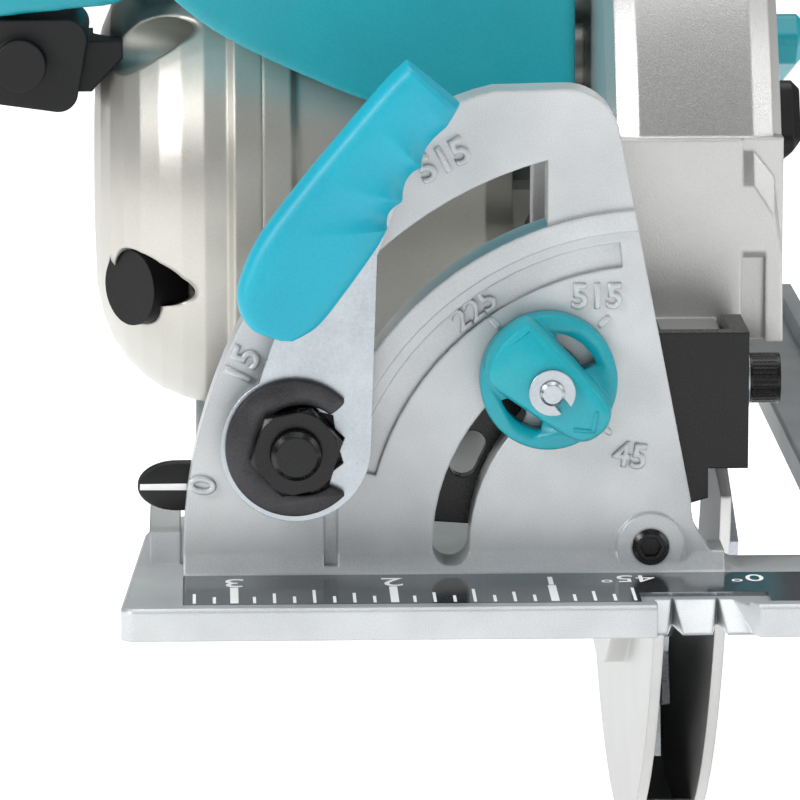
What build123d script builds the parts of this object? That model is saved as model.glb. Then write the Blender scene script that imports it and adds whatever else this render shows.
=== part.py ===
from build123d import *
import math
import os

os.makedirs("parts", exist_ok=True)

# ---------------------------------------------------------------- driving dimensions (mm)
# Frame: x = 0 is the blade's plane, y = 0 the middle of the bevel quadrant, z = 0 the sole.
# The operator stands at +Y; the motor is on the -X side of the blade.

# base
BASE_LEFT, BASE_RIGHT = -94.0, 38.0
BASE_STEP_LEFT = -82.0
BASE_FRONT, BASE_REAR = -30.0, 270.0
BASE_T = 5.2
STEP_Y = 34.0
WINDOW_LEFT, WINDOW_RIGHT = -25.0, 24.3
WINDOW_FRONT, WINDOW_REAR = 4.5, 243.7
LEDGE_LEFT, LEDGE_REAR, LEDGE_T = 3.5, 19.0, 2.2
RULE_FRONT, RULE_REAR, RULE_LEFT, RULE_RIGHT = -27.0, -5.5, -84.0, 36.5
RULE_T = 0.7
SIGHT_45_X, SIGHT_0_X = -6.3, 0.8
CHANNEL_X = -60.2
FENCE_X, FENCE_Y = 32.0, 0.6

# bevel axis, along Y
PIVOT_X, PIVOT_Z = -8.5, 9.1
PIVOT_R = 3.0
RUN = 0.05                        # radial clearance of a running fit
QUAD_FRONT, QUAD_BACK = -4.0, 4.0
QUAD_R = 75.5
CLAMP_R_IN, CLAMP_R_OUT = 55.2, 65.4
CLAMP_BOLT_R, CLAMP_BOLT_DEG = 60.2, 17.5
STOP_R_IN, STOP_R_OUT = 29.3, 35.3
PLATE_T = 3.2
PLATE_FRONT = 4.5

# stop knob
KNOB_X, KNOB_Z, KNOB_R = -25.3, 37.0, 11.0

# depth axis, along X
DEPTH_Y, DEPTH_Z = 20.0, 32.0
DEPTH_PIN_R = 4.0
EAR_LEFT, EAR_RIGHT, EAR_T = -9.2, 8.0, 3.0
LUG_LEFT, LUG_RIGHT = -5.8, 4.6
GUIDE_R, GUIDE_HALF, GUIDE_X, GUIDE_T = 195.0, 11.0, 17.5, 3.0
DEPTH_SWING = 33.0
TONGUE_X = GUIDE_X + GUIDE_T
RIVET_Y = (222.0, 232.0)
CLAMP_START_DEG = 7.5

# blade and spindle, axis along X
SPINDLE_Y, SPINDLE_Z = 132.0, 30.0
BLADE_R, BLADE_T, TEETH = 92.0, 1.3, 24
SPINDLE_R = 7.5
BOSS_R = 22.0

# guards
UPPER_R_OUT, UPPER_R_IN = 106.0, 103.0
UPPER_LEFT, UPPER_RIGHT, UPPER_WALL = -13.0, 16.0, 3.0
UPPER_CUT_Z = 26.0
WEB_FRONT = 31.0
LOWER_R_OUT, LOWER_WALL = 101.0, 1.8
LOWER_LEFT, LOWER_RIGHT = -4.2, 8.0
LOWER_DISH_X = -8.0

# motor and gears, motor axis along Y
MOTOR_X, MOTOR_Z = -62.0, 44.5
MOTOR_R, MOTOR_WALL = 37.0, 3.0
MOTOR_FRONT, MOTOR_BACK = 166.0, 262.0
CASE_Y, CASE_Z, CASE_R = 128.0, 50.0, 43.0
CASE_LEFT, CASE_RIGHT = -70.0, -26.0
COVER_LEFT = -100.0
FLANGE_Y = 158.0
LOCK_X, LOCK_Z = -19.5, 46.0
RING_R, RING_TEETH = 18.3, 45
PINION_R, PINION_TEETH = 6.0, 9
RING_FACE_X = MOTOR_X + PINION_R + 0.4


# ---------------------------------------------------------------- shape helpers
def box(x0, x1, y0, y1, z0, z1):
    return Pos((x0 + x1) / 2, (y0 + y1) / 2, (z0 + z1) / 2) * Box(x1 - x0, y1 - y0, z1 - z0)


def rod_x(x0, x1, y, z, r):
    return Pos((x0 + x1) / 2, y, z) * Rot(0, 90, 0) * Cylinder(r, abs(x1 - x0))


def rod_y(y0, y1, x, z, r):
    return Pos(x, (y0 + y1) / 2, z) * Rot(90, 0, 0) * Cylinder(r, abs(y1 - y0))


def rod_z(z0, z1, x, y, r):
    return Pos(x, y, (z0 + z1) / 2) * Cylinder(r, abs(z1 - z0))


def slab_x(sketch, x0, x1):
    """A sketch drawn in (y, z), made solid from x0 to x1."""
    return extrude(Plane(origin=(x0, 0, 0), x_dir=(0, 1, 0), z_dir=(1, 0, 0)) * sketch, x1 - x0)


def slab_y(sketch, y0, y1):
    """A sketch drawn in (x, z), made solid from y0 to y1."""
    return extrude(Plane(origin=(0, y0, 0), x_dir=(1, 0, 0), z_dir=(0, -1, 0)) * sketch, y0 - y1)


def slab_z(sketch, z0, z1):
    """A sketch drawn in (x, y), made solid from z0 to z1."""
    return extrude(Plane.XY.offset(z0) * sketch, z1 - z0)


def outline(*points):
    return make_face(Polyline(*points, close=True))


def turned_x(y, z, *profile):
    """A profile of (x, r) points turned about the line through (y, z) along X."""
    return Pos(0, y, z) * revolve(outline(*profile), Axis.X)


def turned_y(x, z, *profile):
    """A profile of (y, r) points turned about the line through (x, z) along Y."""
    return Pos(x, 0, z) * Rot(0, 0, 90) * revolve(outline(*profile), Axis.X)


def polar(cx, cy, r, degrees):
    a = math.radians(degrees)
    return (cx + r * math.cos(a), cy + r * math.sin(a))


def ring_sector(cx, cy, r_in, r_out, start, end):
    """A flat ring between two radii, from one angle to the other, in degrees."""
    middle = (start + end) / 2
    edge = [
        ThreePointArc(*(polar(cx, cy, r_out, a) for a in (start, middle, end))),
        Line(polar(cx, cy, r_out, end), polar(cx, cy, r_in, end)),
        ThreePointArc(*(polar(cx, cy, r_in, a) for a in (end, middle, start))),
        Line(polar(cx, cy, r_in, start), polar(cx, cy, r_out, start)),
    ]
    return make_face(edge)


def round_slot(cx, cy, r_in, r_out, start, end):
    """An arc slot with round ends."""
    middle_r, end_r = (r_in + r_out) / 2, (r_out - r_in) / 2
    ends = [Pos(*polar(cx, cy, middle_r, a)) * Circle(end_r) for a in (start, end)]
    return ring_sector(cx, cy, r_in, r_out, start, end) + ends[0] + ends[1]


def hexagon(across_flats, turn=0.0):
    return Rot(0, 0, turn) * RegularPolygon(across_flats / 2, 6, major_radius=False)


def save(node, shape):
    export_step(shape, f"parts/{node}.step")


# ---------------------------------------------------------------- base
def quadrant_profile():
    """The bevel quadrant's face: a quarter disc about the pivot, squared off at its upper corner."""
    left = PIVOT_X - QUAD_R
    arc_end = polar(PIVOT_X, PIVOT_Z, QUAD_R + 1.6, 128)
    edge = [
        Line((left, 4.0), (left, PIVOT_Z)),
        ThreePointArc((left, PIVOT_Z), polar(PIVOT_X, PIVOT_Z, QUAD_R, 153), arc_end),
        ThreePointArc(arc_end, (-47.5, 77.6), (-34.0, 83.4)),
        Line((-34.0, 83.4), (-15.3, 83.8)),
        Line((-15.3, 83.8), (-2.0, 16.6)),
        ThreePointArc((-2.0, 16.6), (0.2, 9.5), (6.3, BASE_T)),
        Line((6.3, BASE_T), (6.3, 4.0)),
        Line((6.3, 4.0), (left, 4.0)),
    ]
    face = make_face(edge)
    corner = face.vertices().sort_by_distance((-15.3, 83.8))[0]
    return fillet(corner, 8.5)


def base_plate():
    """Die-cast base: sole, front strip, bevel quadrant and rear hinge lug in one piece."""
    sole = outline(
        (BASE_LEFT, BASE_FRONT), (BASE_RIGHT, BASE_FRONT), (BASE_RIGHT, BASE_REAR),
        (BASE_STEP_LEFT, BASE_REAR), (BASE_STEP_LEFT, STEP_Y + 8), (BASE_LEFT + 5.5, STEP_Y),
        (BASE_LEFT + 3.6, STEP_Y - 8),
    )
    sole = fillet(sole.vertices(), 2.5)
    window = outline(
        (WINDOW_LEFT, WINDOW_FRONT), (LEDGE_LEFT, WINDOW_FRONT), (LEDGE_LEFT, LEDGE_REAR),
        (WINDOW_RIGHT, LEDGE_REAR), (WINDOW_RIGHT, WINDOW_REAR), (WINDOW_LEFT, WINDOW_REAR),
    )
    plate = slab_z(sole - window, 0, BASE_T)
    plate = chamfer(plate.edges().group_by(Axis.Z)[-1], 0.5)
    # ledge behind the front strip, low enough for the tilted bracket to pass over
    plate -= box(LEDGE_LEFT - 3, WINDOW_RIGHT, WINDOW_FRONT, LEDGE_REAR + 1, LEDGE_T, BASE_T + 1)
    # stiffening wall along the blade side
    plate += box(BASE_RIGHT - 3.0, BASE_RIGHT, 60, 236, BASE_T - 1, 9)
    # quadrant with its slots
    quadrant = slab_y(quadrant_profile(), QUAD_FRONT, QUAD_BACK)
    clamp_slot = round_slot(PIVOT_X, PIVOT_Z, CLAMP_R_IN, CLAMP_R_OUT, 100, 180 - CLAMP_BOLT_DEG)
    clamp_slot &= Pos(-65.4, 40) * Rectangle(80, 120)
    stop_slot = round_slot(PIVOT_X, PIVOT_Z, STOP_R_IN, STOP_R_OUT, 136, 180)
    cuts = slab_y(clamp_slot, QUAD_FRONT - 1, QUAD_BACK + 1) + slab_y(stop_slot, QUAD_FRONT - 1, QUAD_BACK + 1)
    # the round rib beside the inner groove, and the upright channel below it
    rib = slab_y(ring_sector(PIVOT_X, PIVOT_Z, 51.8, CLAMP_R_IN, 90, 165), QUAD_FRONT - 1.2, QUAD_FRONT)
    rib &= slab_y(quadrant_profile(), QUAD_FRONT - 2, QUAD_BACK)
    groove = slab_y(ring_sector(PIVOT_X, PIVOT_Z, 46.0, 50.0, 96, 165), QUAD_FRONT - 1, QUAD_FRONT + 1.2)
    channel = box(CHANNEL_X - 1.1, CHANNEL_X + 1.1, QUAD_FRONT - 1, QUAD_FRONT + 0.9, BASE_T + 1, 24)
    pivot_boss = rod_y(QUAD_FRONT - 1.0, QUAD_FRONT, PIVOT_X, PIVOT_Z, 5.5)
    foot = slab_x(outline((QUAD_FRONT - 2.2, BASE_T - 1), (QUAD_FRONT, BASE_T + 3), (QUAD_BACK, BASE_T + 3),
                          (QUAD_BACK, BASE_T - 1)), PIVOT_X - QUAD_R, LEDGE_LEFT)
    plate += quadrant + rib + pivot_boss + foot
    plate -= cuts + groove + channel
    # the stop knob's pin hole and the front pivot's hole
    plate -= rod_y(QUAD_FRONT - 3, QUAD_BACK + 1, KNOB_X, KNOB_Z, 2.2)
    plate -= rod_y(QUAD_FRONT - 3, QUAD_BACK + 1, PIVOT_X, PIVOT_Z, PIVOT_R)
    # gusset and rear hinge lug
    lug = outline((-30, 3), (-30, 12), (-17, 19), (0, 19), (16, 12), (16, 3))
    plate += slab_y(fillet(lug.vertices().group_by(Axis.Y)[-1], 6), 244.2, 252)
    plate -= rod_y(243, 253, PIVOT_X, PIVOT_Z, PIVOT_R)
    # sight notches in the front edge: a sloped nose with a groove for each blade line
    nose = slab_z(outline((-9.2, -31), (-9.2, -22), (2.8, -22), (7.6, -31)), -1, 6)
    nose &= slab_x(outline((-31, -0.1), (-31, 6), (-22, 6), (-22, BASE_T), (-28.4, -0.1)), -12, 9)
    plate -= nose
    for x in (SIGHT_45_X, SIGHT_0_X):
        plate -= slab_z(outline((x - 1.6, -30.5), (x + 1.6, -30.5), (x, -21.0)), -1, 6)
    # rule recess, rip fence bosses and their slot
    plate -= box(RULE_LEFT, BASE_RIGHT + 1, RULE_FRONT, RULE_REAR - 0.8, BASE_T - RULE_T, BASE_T + 1)
    plate += box(BASE_LEFT + 4.5, BASE_LEFT + 9.5, 2, 30, BASE_T - 1, 10.5)
    plate += box(BASE_RIGHT - 12, BASE_RIGHT, FENCE_Y - 7, FENCE_Y + 7, BASE_T - 1, 14.5)
    plate -= box(BASE_RIGHT - 13, BASE_RIGHT + 1, FENCE_Y - 5.2, FENCE_Y + 5.2, BASE_T, BASE_T + 4.6)
    plate -= rod_z(BASE_T + 3, 18, FENCE_X, FENCE_Y, 2.5)
    return plate


def front_rule():
    """Printed aluminium rule in the front strip, cut away round the sight notches."""
    strip = box(RULE_LEFT + 0.2, RULE_RIGHT, RULE_FRONT + 0.2, RULE_REAR - 1.0, BASE_T - RULE_T, BASE_T)
    return strip - box(-11.5, 9.0, RULE_FRONT - 1, -20.5, 0, BASE_T + 1)


def pivot_pins():
    """The two steel pins of the bevel hinge, pressed into the base front and rear."""
    front = turned_y(PIVOT_X, PIVOT_Z, (-5.6, 0), (-5.6, PIVOT_R - 0.7), (-5.0, PIVOT_R), (8.4, PIVOT_R), (8.4, 0))
    rear = turned_y(PIVOT_X, PIVOT_Z, (239.2, 0), (239.2, PIVOT_R), (252.6, PIVOT_R), (253.2, PIVOT_R - 0.7),
                    (253.2, 0))
    front -= slab_y(Pos(PIVOT_X, PIVOT_Z) * hexagon(3.0), -6.0, -4.2)
    return Compound([front, rear])


def stop_knob_pin():
    """Headed pin fixed in the quadrant; the stop knob turns on it, held by a snap ring."""
    return turned_y(KNOB_X, KNOB_Z, (-18.6, 0), (-18.6, 1.5), (-18.1, 2.0), (-17.6, 2.0), (-17.6, 1.5),
                    (-16.7, 1.5), (-16.7, 2.0), (-4.0, 2.0), (-4.0, 2.2), (3.8, 2.2), (3.8, 0))


def stop_knob_ring():
    ring = Circle(3.7) - Circle(1.5) - Pos(0, -2.9) * Rectangle(1.9, 3.0)
    return slab_y(Pos(KNOB_X, KNOB_Z) * Rot(0, 0, 38) * ring, -17.5, -16.8)


def fence_screw():
    """Thumb screw that clamps a rip fence bar in the right rail."""
    knob = rod_z(18, 28, FENCE_X, FENCE_Y, 5.2)
    for k in range(10):
        knob -= rod_z(17, 29, *polar(FENCE_X, FENCE_Y, 5.8, 36 * k), 1.1)
    return knob + rod_z(10, 18.5, FENCE_X, FENCE_Y, 2.5) + rod_z(14.7, 18, FENCE_X, FENCE_Y, 4.0)


# ---------------------------------------------------------------- stop knob
def stop_knob():
    """Moulded selector: a disc with a slanting grip bar and two curved reliefs."""
    disc = rod_y(-9.0, QUAD_FRONT - 0.4, 0, 0, KNOB_R)
    for start in (20, 200):
        disc -= slab_y(ring_sector(0, 0, 5.6, 8.2, start, start + 62), -10, QUAD_FRONT + 1)
    bar = slab_y(fillet((Rectangle(23.5, 9.0)).vertices(), 4.2), -16.6, -8.5)
    bar = chamfer(bar.faces().sort_by(Axis.Y)[0].edges(), 1.0)
    knob = disc + Rot(0, 45, 0) * bar
    knob -= rod_y(-20, 0, 0, 0, 2.0 + RUN)
    knob -= rod_y(-20, -16.0, 0, 0, 4.4)
    return Pos(KNOB_X, 0, KNOB_Z) * knob


# ---------------------------------------------------------------- bevel frame
def clamp_centre():
    return polar(PIVOT_X, PIVOT_Z, CLAMP_BOLT_R, 180 - CLAMP_BOLT_DEG)


def bevel_plate():
    """Pressed steel bracket: turns on the front pivot, carries the clamp bolt and the depth pivot."""
    back = PLATE_FRONT + PLATE_T
    bx, bz = clamp_centre()
    sector = ring_sector(PIVOT_X, PIVOT_Z, 0.01, 53.0, 98, 176) + Pos(PIVOT_X, PIVOT_Z) * Circle(7.6)
    arm = Pos(bx, bz) * Circle(9.5)
    arm += outline((PIVOT_X - 20, PIVOT_Z + 1.5), (bx, bz - 9.4), (bx + 2, bz + 9.3), (PIVOT_X - 30, PIVOT_Z + 34))
    face = sector + arm + outline((PIVOT_X, PIVOT_Z + 3), (1.5, PIVOT_Z + 6), (1.5, 20), (EAR_RIGHT, 20),
                                  (EAR_RIGHT, 42.5), (PIVOT_X - 3, 42.5))
    plate = slab_y(face, PLATE_FRONT, back)
    for x0 in (EAR_LEFT, EAR_RIGHT - EAR_T):
        side = outline((PLATE_FRONT, 20), (DEPTH_Y, 20), (DEPTH_Y, 42.5), (PLATE_FRONT, 42.5))
        side += Pos(DEPTH_Y, DEPTH_Z) * Circle(10.5)
        plate += slab_x(side, x0, x0 + EAR_T)
    plate -= rod_x(EAR_LEFT + EAR_T - 0.5, EAR_RIGHT + 1, DEPTH_Y, DEPTH_Z, DEPTH_PIN_R)
    plate -= rod_x(EAR_LEFT - 1, EAR_LEFT + EAR_T, DEPTH_Y, DEPTH_Z, 3.0)
    plate -= rod_y(PLATE_FRONT - 1, back + 1, PIVOT_X, PIVOT_Z, PIVOT_R + RUN)
    plate -= rod_y(PLATE_FRONT - 1, back + 1, bx, bz, 4.0)
    # window in the sector, which leaves the stop tab standing
    plate -= slab_y(round_slot(PIVOT_X, PIVOT_Z, 30.0, 34.6, 152, 158), PLATE_FRONT - 1, back + 1)
    return plate


def bevel_bolt():
    """M8 bolt: its head bears on the back of the bracket, its thread passes out through the quadrant."""
    x, z = clamp_centre()
    bolt = turned_y(x, z, (-19.0, 0), (-19.0, 3.2), (-18.2, 4.0), (7.7, 4.0), (7.7, 8.2), (11.7, 8.2), (12.4, 7.4),
                    (12.4, 0))
    return bolt


def bevel_pointer():
    """Moulded pointer beside the quadrant's edge, screwed to the clamp arm."""
    x, z = clamp_centre()
    tip = x - CLAMP_BOLT_R + 34.5
    arm = outline((tip, 18.6), (tip + 2.4, 21.3), (x - 4, 21.4), (x - 4, 13.4), (tip + 2.4, 14.2), (tip, 17.0))
    body = slab_y(arm, PLATE_FRONT + 0.2, PLATE_FRONT + 2.6)
    return body - rod_y(0, 20, x, z, 9.7)


def depth_pivot_screw():
    """Socket cap screw with a shoulder: the axis that the saw swings on for depth."""
    screw = rod_x(EAR_LEFT - 2.4, EAR_LEFT + EAR_T, DEPTH_Y, DEPTH_Z, 3.0 - 0.02)
    screw += rod_x(EAR_LEFT + EAR_T, EAR_RIGHT + 1.2, DEPTH_Y, DEPTH_Z, DEPTH_PIN_R - 0.02)
    head = rod_x(EAR_RIGHT + 1.2, EAR_RIGHT + 6.4, DEPTH_Y, DEPTH_Z, 4.15)
    for k in range(30):
        head -= rod_x(EAR_RIGHT + 1.8, EAR_RIGHT + 5.8, *polar(DEPTH_Y, DEPTH_Z, 4.25, 12 * k), 0.2)
    socket = Plane(origin=(EAR_RIGHT + 3.6, DEPTH_Y, DEPTH_Z), x_dir=(0, 1, 0), z_dir=(1, 0, 0)) * hexagon(4.0)
    return screw + head - extrude(socket, 4)


def depth_pivot_washer():
    ring = Pos(DEPTH_Y, DEPTH_Z) * (Circle(5.2) - Circle(DEPTH_PIN_R))
    return slab_x(ring, EAR_RIGHT, EAR_RIGHT + 1.2)


def guide_sector(r_in, r_out, start, end):
    return ring_sector(DEPTH_Y, DEPTH_Z, r_in, r_out, start, end)


def rear_bracket():
    """Pressed steel bracket on the rear pivot, with the tongue that carries the depth guide."""
    face = Pos(PIVOT_X, PIVOT_Z) * Circle(7.6)
    edge_x = TONGUE_X + 3.0
    face += outline((PIVOT_X - 7, PIVOT_Z + 2), (PIVOT_X + 7, PIVOT_Z + 2), (edge_x, 50), (edge_x, 98), (12, 98))
    plate = slab_y(face, 240.2, 243.4)
    plate += box(TONGUE_X, TONGUE_X + 3.0, 216, 243.4, 86, 98)
    plate -= rod_y(239, 245, PIVOT_X, PIVOT_Z, PIVOT_R + RUN)
    for y in RIVET_Y:
        plate -= rod_x(TONGUE_X - 1, TONGUE_X + 4, y, 92, 2.0)
    return plate


def depth_guide():
    """Arc-shaped steel guide about the depth axis, slotted for the clamp bolt."""
    bolt_end = CLAMP_START_DEG + DEPTH_SWING
    face = guide_sector(GUIDE_R - GUIDE_HALF, GUIDE_R + GUIDE_HALF, CLAMP_START_DEG - 3.0, bolt_end + 3.5)
    slot = round_slot(DEPTH_Y, DEPTH_Z, GUIDE_R - 3.4, GUIDE_R + 3.4, CLAMP_START_DEG, bolt_end)
    tab = outline((207, 86), (238, 86), (238, 98), (202, 98))
    plate = slab_x(face + tab - slot, GUIDE_X, GUIDE_X + GUIDE_T)
    for y in RIVET_Y:
        plate -= rod_x(GUIDE_X - 1, GUIDE_X + 4, y, 92, 2.0)
    return plate


def depth_guide_rivets():
    rivets = []
    low, high = GUIDE_X, TONGUE_X + 3.0
    for y in RIVET_Y:
        rivets.append(turned_x(y, 92, (low - 1.0, 0), (low - 1.0, 2.6), (low, 3.4), (low, 2), (high, 2), (high, 3.6),
                               (high + 1.4, 2.6), (high + 1.4, 0)))
    return Compound(rivets)


# ---------------------------------------------------------------- bevel lever
def bevel_nut():
    """M8 hexagon flange nut that the lever turns."""
    x, z = clamp_centre()
    nut = slab_y(Pos(x, z) * hexagon(13.0, 12), -16.2, -9.0)
    nut += rod_y(-9.0, -7.4, x, z, 8.6)
    nut &= turned_y(x, z, (-16.2, 0), (-16.2, 6.7), (-15.4, 7.6), (-9, 8.8), (-7.4, 8.8), (-7.4, 0))
    return nut - rod_y(-20, 0, x, z, 4.0 + RUN)


def star_hole(points, r_out, r_in):
    corners = []
    for k in range(points):
        corners.append(polar(0, 0, r_out, 360 * k / points))
        corners.append(polar(0, 0, r_in, 360 * (k + 0.5) / points))
    return outline(*corners)


def bevel_lever_plate():
    """Zinc plated steel lever with a twelve-point hole over the nut."""
    x, z = clamp_centre()
    grip = outline((-8, 4), (12.0, 0), (13.0, 31), (18.0, 45), (13.0, 50), (5.0, 42), (-1.0, 25))
    face = Circle(12.0) + grip - Rot(0, 0, 12) * star_hole(12, 8.0, 7.0)
    return slab_y(Pos(x, z) * face, -10.8 - 1.0, -9.1)


def bevel_lever_clip():
    """Spring steel clip that keeps the lever on the nut."""
    x, z = clamp_centre()
    ring = ring_sector(0, 0, 7.9, 11.4, 60, 360)
    return slab_y(Pos(x + 0.3, z) * ring, -13.6, -12.0)


def bevel_lever_grip():
    """Soft moulded grip over the lever's free end, with finger ripples on its inner side."""
    x, z = clamp_centre()
    ripples = [(25.9, 55.8), (21.2, 48.7), (16.5, 39.9), (12.5, 32.7)]
    edge = [Spline((-9.3, 24.9), (-5.3, 35.2), (8.6, 52.7), (17.7, 62.6)), Line((17.7, 62.6), ripples[0])]
    for (x0, z0), (x1, z1) in zip(ripples, ripples[1:]):
        edge.append(ThreePointArc((x0, z0), ((x0 + x1) / 2 - 0.7, (z0 + z1) / 2 + 0.4), (x1, z1)))
    edge += [Line(ripples[-1], (3.8, 20.8)), ThreePointArc((3.8, 20.8), (-3.4, 19.4), (-9.3, 24.9))]
    grip = slab_y(Pos(x, z) * make_face(edge), -19.5, -9.0)
    return grip - bevel_lever_plate()


# ---------------------------------------------------------------- guards
def upper_guard():
    """Cast blade cover: hollow half drum, a flat front web and the lug of the depth pivot."""
    outer = turned_x(SPINDLE_Y, SPINDLE_Z, (UPPER_LEFT, 0), (UPPER_LEFT, UPPER_R_OUT - 5),
                     (UPPER_LEFT + 1.5, UPPER_R_OUT - 1.5), (UPPER_LEFT + 5, UPPER_R_OUT),
                     (UPPER_RIGHT - 5, UPPER_R_OUT), (UPPER_RIGHT - 1.5, UPPER_R_OUT - 1.5),
                     (UPPER_RIGHT, UPPER_R_OUT - 5), (UPPER_RIGHT, 0))
    inner = rod_x(UPPER_LEFT + UPPER_WALL, UPPER_RIGHT - UPPER_WALL, SPINDLE_Y, SPINDLE_Z, UPPER_R_IN)
    guard = outer - inner
    guard -= rod_x(5, UPPER_RIGHT + 1, SPINDLE_Y, SPINDLE_Z, 38)
    guard -= rod_x(UPPER_LEFT - 1, 0, SPINDLE_Y, SPINDLE_Z, BOSS_R + 0.2)
    guard -= box(-40, 40, 0, 300, -90, UPPER_CUT_Z)
    guard -= box(5, 40, 0, 300, -90, 36)
    # flat front below the rim: web towards the gear case, lug for the depth pivot
    guard -= box(-40, 40, 0, WEB_FRONT, 20, 66)
    web = box(CASE_RIGHT, 9.0, WEB_FRONT, WEB_FRONT + 5, 28, 70)
    lug = rod_x(LUG_LEFT, LUG_RIGHT, DEPTH_Y, DEPTH_Z, 8) + box(LUG_LEFT, LUG_RIGHT, DEPTH_Y, WEB_FRONT + 4, 26, 40)
    blade_room = rod_x(UPPER_LEFT + UPPER_WALL, UPPER_RIGHT - UPPER_WALL, SPINDLE_Y, SPINDLE_Z, BLADE_R + 5)
    shoulder = box(8.0, UPPER_RIGHT, WEB_FRONT + 2, WEB_FRONT + 6, 36, 70)
    guard += web + shoulder + lug - blade_room
    guard -= rod_x(LUG_LEFT - 1, LUG_RIGHT + 1, DEPTH_Y, DEPTH_Z, DEPTH_PIN_R + RUN)
    # pad that the depth clamp bolt is fixed in
    y, z = clamp_bolt_centre()
    guard += rod_x(UPPER_RIGHT - 6, GUIDE_X - 0.3, y, z, 8)
    return guard - rod_x(UPPER_RIGHT - 8, GUIDE_X + 1, y, z, 3.0)


def clamp_bolt_centre():
    return polar(DEPTH_Y, DEPTH_Z, GUIDE_R, CLAMP_START_DEG)


def depth_clamp_bolt():
    """M6 bolt from inside the upper guard out through the depth guide's slot."""
    y, z = clamp_bolt_centre()
    return rod_x(UPPER_RIGHT - 5.6, 33, y, z, 3.0)


def depth_lever():
    """Moulded clamping lever with its threaded insert, outside the depth guide."""
    y, z = clamp_bolt_centre()
    hub = turned_x(y, z, (GUIDE_X + GUIDE_T + 0.3, 0), (GUIDE_X + GUIDE_T + 0.3, 8), (30, 8), (31, 7), (31, 0))
    arm = outline((y - 5, z + 4), (y - 8.5, z - 4), (y - 46, z + 6), (y - 50, z + 11), (y - 46, z + 15.5), (y - 2, z + 9))
    blade = slab_x(fillet(arm.vertices(), 2.0), 24.5, 32.5)
    blade = chamfer(blade.faces().sort_by(Axis.X)[-1].edges(), 1.0)
    return hub + blade - rod_x(10, 40, y, z, 3.0 + RUN)


LOWER_FRONT_DEG, LOWER_REAR_DEG, LOWER_RIM_DEG = 192.0, 352.0, 243.0
LOWER_SWING = 150.0
ARM_GRIP_DEG, ARM_FOOT_DEG, ARM_X = 58.0, 206.0, 10.4


def lower_guard():
    """Swinging guard: dished inner wall with the hub, narrow outer wall, rim closed below and behind."""
    c = (SPINDLE_Y, SPINDLE_Z)
    left_band = ring_sector(*c, 69, LOWER_R_OUT, LOWER_FRONT_DEG, LOWER_REAR_DEG)
    guard = slab_x(left_band, LOWER_LEFT, LOWER_LEFT + LOWER_WALL)
    cone = ring_sector(*c, 69, 71.5, LOWER_FRONT_DEG, LOWER_REAR_DEG)
    guard += slab_x(cone, LOWER_DISH_X, LOWER_LEFT + LOWER_WALL)
    dish = ring_sector(*c, BOSS_R + 4, 71.5, LOWER_FRONT_DEG, LOWER_REAR_DEG) + Pos(*c) * Circle(BOSS_R + 6)
    guard += slab_x(dish - Pos(*c) * Circle(BOSS_R + RUN), LOWER_DISH_X, LOWER_DISH_X + LOWER_WALL)
    right_band = ring_sector(*c, 66, LOWER_R_OUT, LOWER_FRONT_DEG, LOWER_REAR_DEG)
    guard += slab_x(right_band, LOWER_RIGHT - LOWER_WALL, LOWER_RIGHT)
    rim = ring_sector(*c, LOWER_R_OUT - 2.2, LOWER_R_OUT, LOWER_RIM_DEG, LOWER_REAR_DEG)
    return guard + slab_x(rim, LOWER_LEFT, LOWER_RIGHT)


def lower_guard_arm():
    """Steel arm riveted to the guard's outer wall; it curls round the flange to carry the thumb grip."""
    c = (SPINDLE_Y, SPINDLE_Z)
    face = ring_sector(*c, 21, 31, ARM_GRIP_DEG - 8, ARM_FOOT_DEG + 6)
    face += ring_sector(*c, 30, 92, ARM_FOOT_DEG - 6, ARM_FOOT_DEG + 6)
    return slab_x(face, LOWER_RIGHT, ARM_X)


def lower_guard_grip():
    """Moulded thumb grip on the arm, standing out through the upper guard's side opening."""
    middle = Pos(*polar(SPINDLE_Y, SPINDLE_Z, 29, ARM_GRIP_DEG)) * Rot(0, 0, ARM_GRIP_DEG)
    knob = slab_x(middle * fillet(Rectangle(15, 13).vertices(), 3.0), ARM_X, 30)
    knob = chamfer(knob.faces().sort_by(Axis.X)[-1].edges(), 1.5)
    # underside sloped so that it clears the base when the saw is tilted
    slope = slab_y(outline((23, 30), (31, 30), (31, 54.5), (23, 44.5)), 120, 170)
    return knob - slope


def guard_bumper():
    """Rubber block under the upper guard's rim that stops the lower guard fully open."""
    open_deg = LOWER_REAR_DEG + LOWER_SWING - 360
    block = ring_sector(SPINDLE_Y, SPINDLE_Z, UPPER_R_IN - 6.5, UPPER_R_IN, open_deg + 1.0, open_deg + 6)
    return slab_x(block, -3, 7)


def guard_spring():
    """Torsion spring round the housing boss, shown as its outer sleeve."""
    ring = Pos(SPINDLE_Y, SPINDLE_Z) * (Circle(BOSS_R + 2.6) - Circle(BOSS_R + 0.1))
    return slab_x(ring, UPPER_LEFT + 3.4, LOWER_DISH_X - 0.2)


# ---------------------------------------------------------------- blade and spindle
def saw_blade():
    """Thin steel disc with hooked teeth."""
    corners = []
    for k in range(TEETH):
        start = 360 * k / TEETH
        for r, turn in ((BLADE_R, 0.0), (BLADE_R - 1.6, 2.2), (BLADE_R - 6.2, 7.6), (BLADE_R - 9.8, 11.0),
                        (BLADE_R - 9.0, 13.2), (BLADE_R - 4.0, 14.2)):
            corners.append(polar(SPINDLE_Y, SPINDLE_Z, r, start + turn))
    disc = outline(*corners) - Pos(SPINDLE_Y, SPINDLE_Z) * Circle(8.0)
    for k in range(4):
        slot = Pos(*polar(SPINDLE_Y, SPINDLE_Z, BLADE_R - 18, 90 * k + 12)) * Circle(2.6)
        disc -= slot
    return slab_x(disc, -BLADE_T / 2, BLADE_T / 2)


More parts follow.
